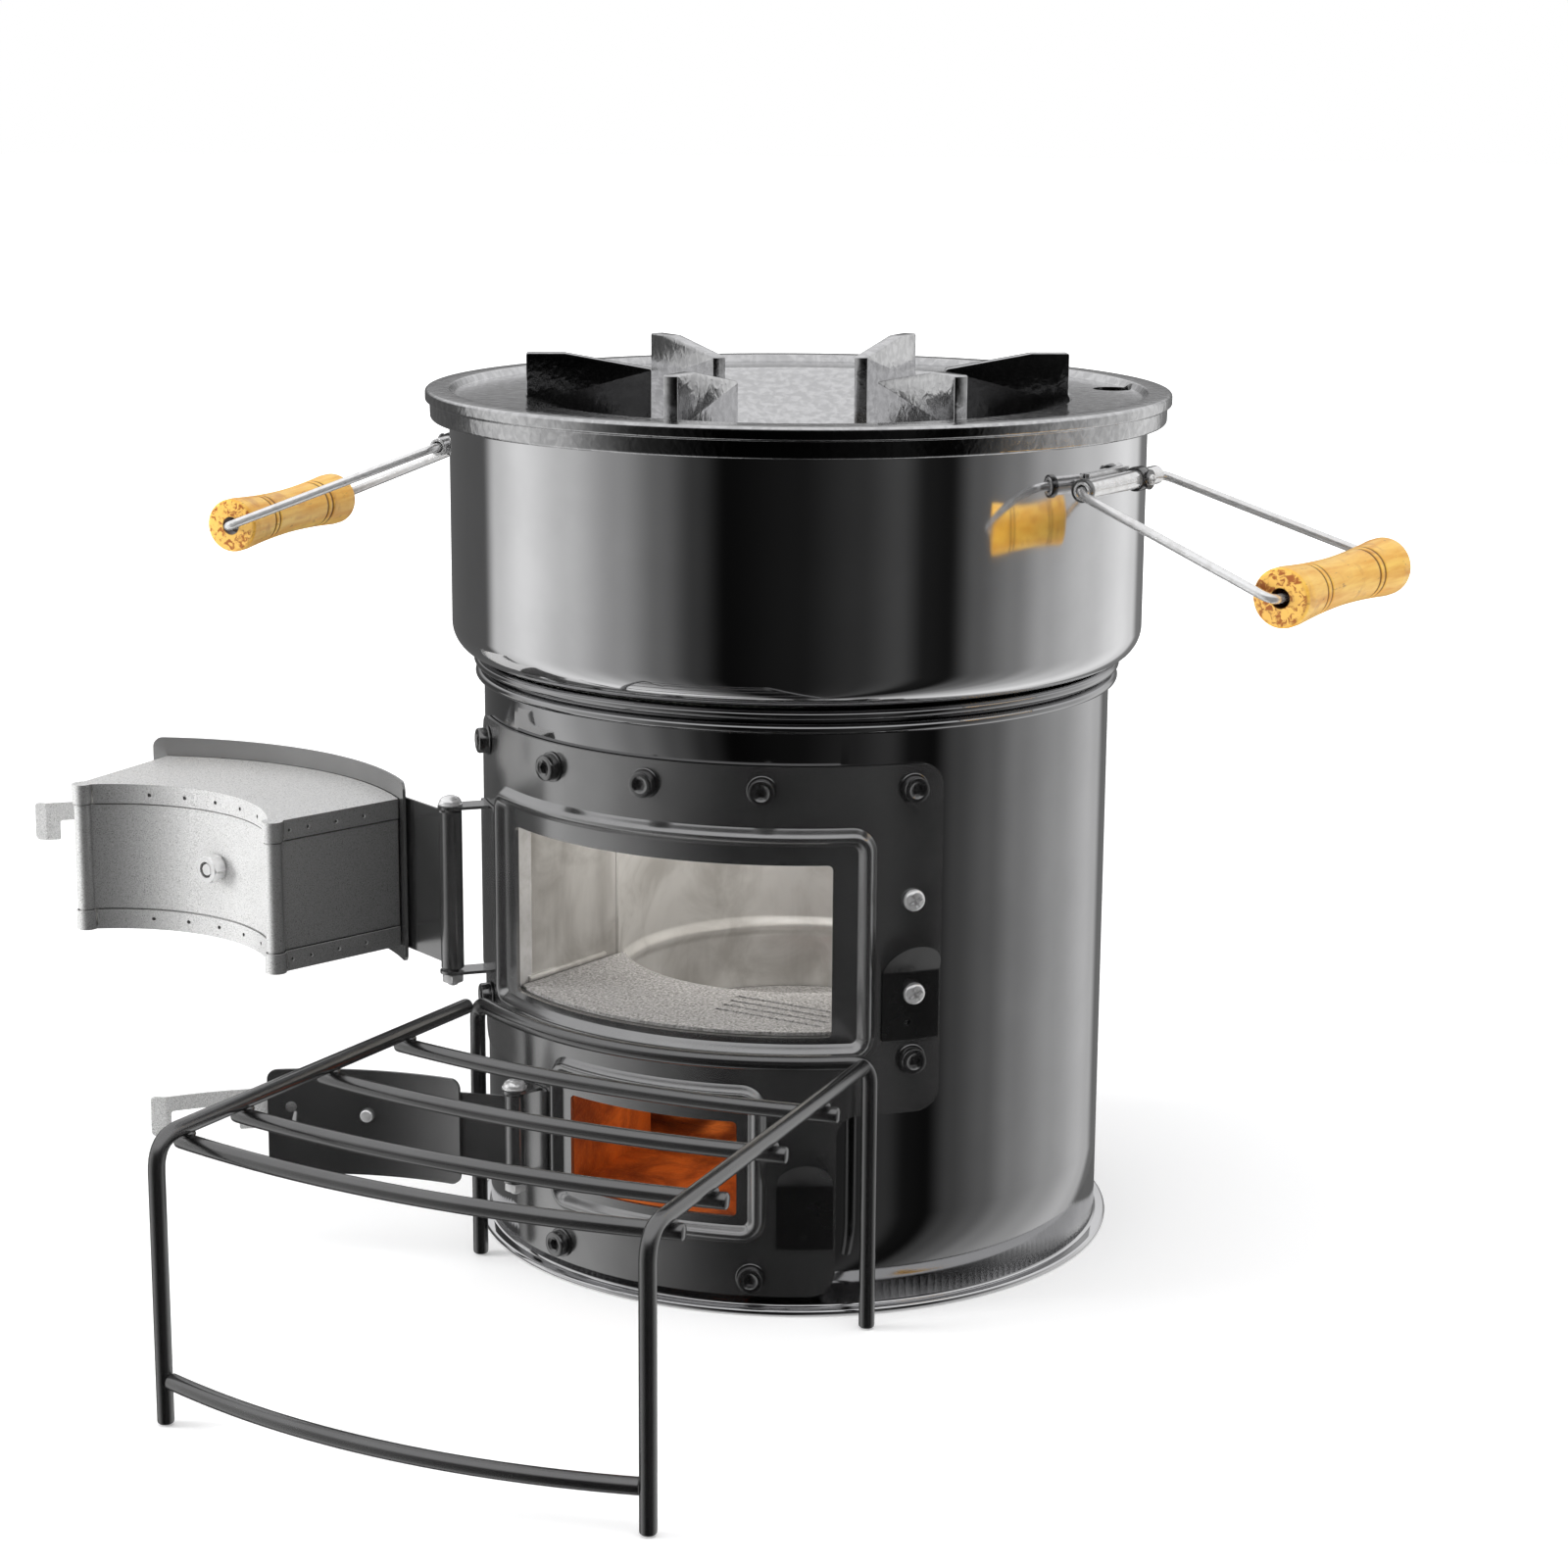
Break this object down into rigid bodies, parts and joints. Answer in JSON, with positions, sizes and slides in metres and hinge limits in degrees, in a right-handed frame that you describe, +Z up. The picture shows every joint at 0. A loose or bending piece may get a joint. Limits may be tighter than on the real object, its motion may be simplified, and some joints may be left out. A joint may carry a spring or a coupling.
{
  "type": "rocket stove",
  "caption": "Portable wood-burning rocket stove with hinged feed and ash doors, finned cast-iron top, bail handles and a wire fuel rack.",
  "frame": {"origin": "on the stove's vertical axis, at the floor", "axes": "+Z up, the feed door and the ash door face -Y, +X to the right when facing the doors"},
  "size_m": [0.5625, 0.4676, 0.3515],
  "materials": {
    "polished_steel": "mirror-bright black baked finish over sheet steel",
    "bright_hem": "bright rolled sheet steel",
    "cast_iron": "hammered, satin black casting",
    "panel_enamel": "semi-gloss black heat paint",
    "black_bolts": "black oxide",
    "liner_steel": "bare steel, heat stained",
    "refractory": "light grey granular refractory",
    "terracotta": "burnt orange clay",
    "ceramic_wool": "white ceramic wool",
    "galvanised": "galvanised sheet",
    "bright_steel": "zinc and nickel plated",
    "wood": "lacquered turned wood with burnt rings",
    "rack_wire": "black coated wire"
  },
  "bodies": {
    "stove": {"base_pan": "bright_hem", "lower_barrel": "polished_steel", "upper_shell": "polished_steel", "top_plate": "cast_iron", "front_panel": "panel_enamel", "riser_tube": "liner_steel", "fire_chamber": "liner_steel", "feed_duct": "liner_steel", "chamber_floor": "refractory", "fire_grate": "cast_iron", "ash_liner": "terracotta", "upper_insulation": "ceramic_wool", "lower_insulation": "ceramic_wool", "panel_bolt_1": "black_bolts", "panel_bolt_2": "black_bolts", "panel_bolt_3": "black_bolts", "panel_bolt_4": "black_bolts", "panel_bolt_5": "black_bolts", "panel_bolt_6": "black_bolts", "panel_bolt_7": "black_bolts", "panel_bolt_8": "black_bolts", "panel_bolt_9": "black_bolts", "catch_screw_1": "bright_steel", "catch_screw_2": "bright_steel", "feed_catch": "panel_enamel", "ash_catch": "panel_enamel", "feed_hinge_bracket": "panel_enamel", "feed_hinge_pin": "bright_steel", "feed_hinge_nut": "bright_steel", "ash_hinge_bracket": "panel_enamel", "ash_hinge_pin": "bright_steel", "ash_hinge_nut": "bright_steel", "left_handle_bracket": "bright_steel", "right_handle_bracket": "bright_steel"},
    "feed_door": {"feed_door_skin": "panel_enamel", "feed_door_leaf": "panel_enamel", "feed_door_box": "galvanised", "feed_door_box_top": "galvanised", "feed_door_box_bottom": "galvanised", "feed_door_insulation": "ceramic_wool", "feed_door_bolt": "bright_steel", "feed_door_nut": "bright_steel"},
    "feed_latch": {"feed_latch_bar": "galvanised"},
    "ash_door": {"ash_door_skin": "panel_enamel", "ash_door_leaf": "panel_enamel", "ash_door_screw": "bright_steel", "ash_latch_pivot": "bright_steel"},
    "ash_latch": {"ash_latch_bar": "galvanised"},
    "left_handle": {"left_bail": "bright_steel"},
    "left_grip": {"left_grip": "wood"},
    "right_handle": {"right_bail": "bright_steel"},
    "right_grip": {"right_grip": "wood"},
    "fuel_rack": {"rack_rail_left": "rack_wire", "rack_rail_right": "rack_wire", "rack_rear_hoop": "rack_wire", "rack_bar_1": "rack_wire", "rack_bar_2": "rack_wire", "rack_bar_3": "rack_wire", "rack_front_bar": "rack_wire", "rack_brace": "rack_wire"}
  },
  "joints": [
    {"name": "feed_door_hinge", "type": "hinge", "parent": "stove", "child": "feed_door", "pos_m": [-0.1018, -0.09986, 0.144], "axis": [0, 0, 1], "range_deg": [0, 190]},
    {"name": "feed_latch_pivot", "type": "hinge", "parent": "feed_door", "child": "feed_latch", "pos_m": [-0.19661, -0.05132, 0.1429], "axis": [0.1736, 0.9848, 0], "range_deg": [-2, 5]},
    {"name": "ash_door_hinge", "type": "hinge", "parent": "stove", "child": "ash_door", "pos_m": [-0.06018, -0.12285, 0.0558], "axis": [0, 0, 1], "range_deg": [0, 162]},
    {"name": "ash_latch_pivot", "type": "hinge", "parent": "ash_door", "child": "ash_latch", "pos_m": [-0.12, -0.13351, 0.059], "axis": [-0.309, 0.9511, 0], "range_deg": [-3, 5]},
    {"name": "left_handle_pivot", "type": "hinge", "parent": "stove", "child": "left_handle", "pos_m": [-0.14193, -0.01743, 0.311], "axis": [-0.1219, 0.9925, 0], "range_deg": [-62, 90]},
    {"name": "left_grip_spin", "type": "hinge", "parent": "left_handle", "child": "left_grip", "pos_m": [-0.22718, -0.02789, 0.27665], "axis": [-0.1219, 0.9925, 0], "continuous": true},
    {"name": "right_handle_pivot", "type": "hinge", "parent": "stove", "child": "right_handle", "pos_m": [0.14193, -0.01743, 0.311], "axis": [-0.1219, -0.9925, 0], "range_deg": [-65, 87]},
    {"name": "right_grip_spin", "type": "hinge", "parent": "right_handle", "child": "right_grip", "pos_m": [0.2291, -0.02813, 0.28196], "axis": [-0.1219, -0.9925, 0], "continuous": true},
    {"name": "fuel_rack_lift", "type": "slide", "parent": "stove", "child": "fuel_rack", "axis": [0, 0, 1], "range_m": [0, 0.12]}
  ]
}
